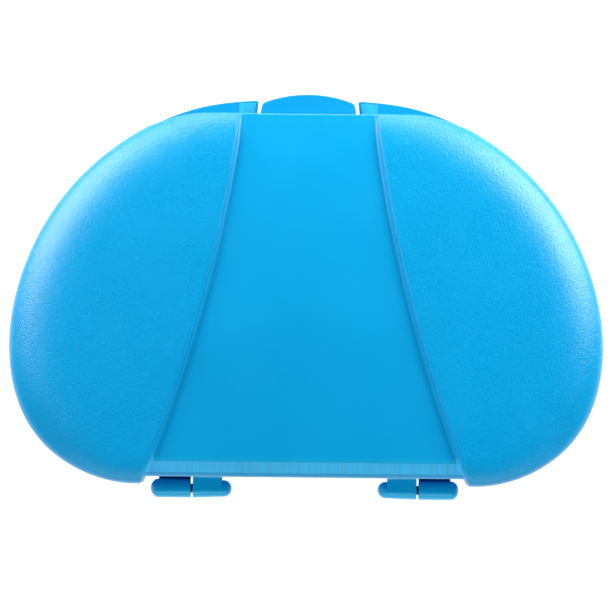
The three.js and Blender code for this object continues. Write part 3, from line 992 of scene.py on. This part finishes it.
latch_pin = b.build("latch_pin_visual", [M_PIN_PAINTED_SHADE], 24.0)

# ---------------------------------------------------------------- frame
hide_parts("cover_shell")
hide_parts("tray_shell")
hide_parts("latch")
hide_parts("hinge_pin_right")
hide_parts("hinge_pin_left")
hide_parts("latch_pin")
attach(cover, "cover")
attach(tray, "tray")
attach(latch, "latch")
for p in pins + [latch_pin]:
    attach(p, "tray")

# ---------------------------------------------------------------- floor, light, camera
scene = bpy.context.scene


def floor():
    me = bpy.data.meshes.new("floor")
    s = 6.0
    me.from_pydata([(-s, -s, -0.0004), (s, -s, -0.0004), (s, s, -0.0004), (-s, s, -0.0004)], [], [(0, 1, 2, 3)])
    ob = bpy.data.objects.new("floor", me)
    scene.collection.objects.link(ob)
    m = bpy.data.materials.new("pale_floor")
    m.use_nodes = True
    bs = m.node_tree.nodes["Principled BSDF"]
    bs.inputs["Base Color"].default_value = (0.30, 0.30, 0.30, 1)
    bs.inputs["Roughness"].default_value = 0.9
    bs.inputs["Specular IOR Level"].default_value = 0.1
    bs.inputs["Emission Color"].default_value = (1, 1, 1, 1)
    bs.inputs["Emission Strength"].default_value = 0.96
    me.materials.append(m)
    return ob


floor()


def area(name, loc, target, size, power, color=(1, 1, 1)):
    d = bpy.data.lights.new(name, "AREA")
    d.shape = "RECTANGLE"
    d.size, d.size_y = size
    d.energy = power
    d.color = color
    o = bpy.data.objects.new(name, d)
    o.location = loc
    o.rotation_mode = "QUATERNION"
    o.rotation_quaternion = (Vector(target) - Vector(loc)).to_track_quat("-Z", "Y")
    o.visible_camera = False
    scene.collection.objects.link(o)
    return o


area("soft_left", (-0.43, 0.30, 0.31), (0, 0, 0.05), (0.42, 0.30), 2.85, (1, 1, 0.94))
area("soft_right", (0.45, 0.27, 0.32), (0, 0, 0.05), (0.42, 0.32), 3.85, (1, 1, 0.94))
area("top_edge", (0, 0.44, 0.27), (0, 0.02, 0.05), (0.5, 0.12), 1.3, (1, 1, 0.95))
area("left_high", (-1.2, 0.25, 1.25), (0, 0, 0.05), (0.6, 0.9), 4.5)
area("front", (0, -1.35, 0.85), (0, 0, 0.05), (2.4, 0.9), 17.5, (0.42, 0.94, 1))

# the studio: bright low down all round, dark overhead
world = bpy.data.worlds.new("studio")
scene.world = world
world.use_nodes = True
wt = world.node_tree
wc = wt.nodes.new("ShaderNodeTexCoord")
ws = wt.nodes.new("ShaderNodeSeparateXYZ")
wr = wt.nodes.new("ShaderNodeMapRange")
wr.interpolation_type = "SMOOTHSTEP"
wr.inputs["From Min"].default_value = 0.12
wr.inputs["From Max"].default_value = 0.32
wr.inputs["To Min"].default_value = 1.5
wr.inputs["To Max"].default_value = 0.02
wt.links.new(wc.outputs["Generated"], ws.inputs[0])
wt.links.new(ws.outputs["Z"], wr.inputs["Value"])
wy = wt.nodes.new("ShaderNodeMapRange")
wy.inputs["From Min"].default_value = -1.0
wy.inputs["From Max"].default_value = 1.0
wy.inputs["To Min"].default_value = 0.12
wy.inputs["To Max"].default_value = 1.0
wt.links.new(ws.outputs["Y"], wy.inputs["Value"])
wm = wt.nodes.new("ShaderNodeMath")
wm.operation = "MULTIPLY"
wt.links.new(wr.outputs[0], wm.inputs[0])
wt.links.new(wy.outputs[0], wm.inputs[1])
wt.links.new(wm.outputs[0], wt.nodes["Background"].inputs["Strength"])
wb = wt.nodes.new("ShaderNodeMix")
wb.data_type = "RGBA"
wb.inputs["A"].default_value = (0.25, 0.85, 1, 1)
wb.inputs["B"].default_value = (1, 1, 1, 1)
wt.links.new(wy.outputs[0], wb.inputs["Factor"])
wt.links.new(wb.outputs["Result"], wt.nodes["Background"].inputs["Color"])

cam_d = bpy.data.cameras.new("camera")
cam_d.sensor_width = 36.0
cam_d.lens = 145.8
cam_d.clip_start, cam_d.clip_end = 0.05, 50
cam = bpy.data.objects.new("camera", cam_d)
cam.location = (-0.0003, -0.0061, 1.638)
cam.rotation_euler = (0, 0, math.radians(0.58))
scene.collection.objects.link(cam)
scene.camera = cam
scene.view_settings.view_transform = "Standard"
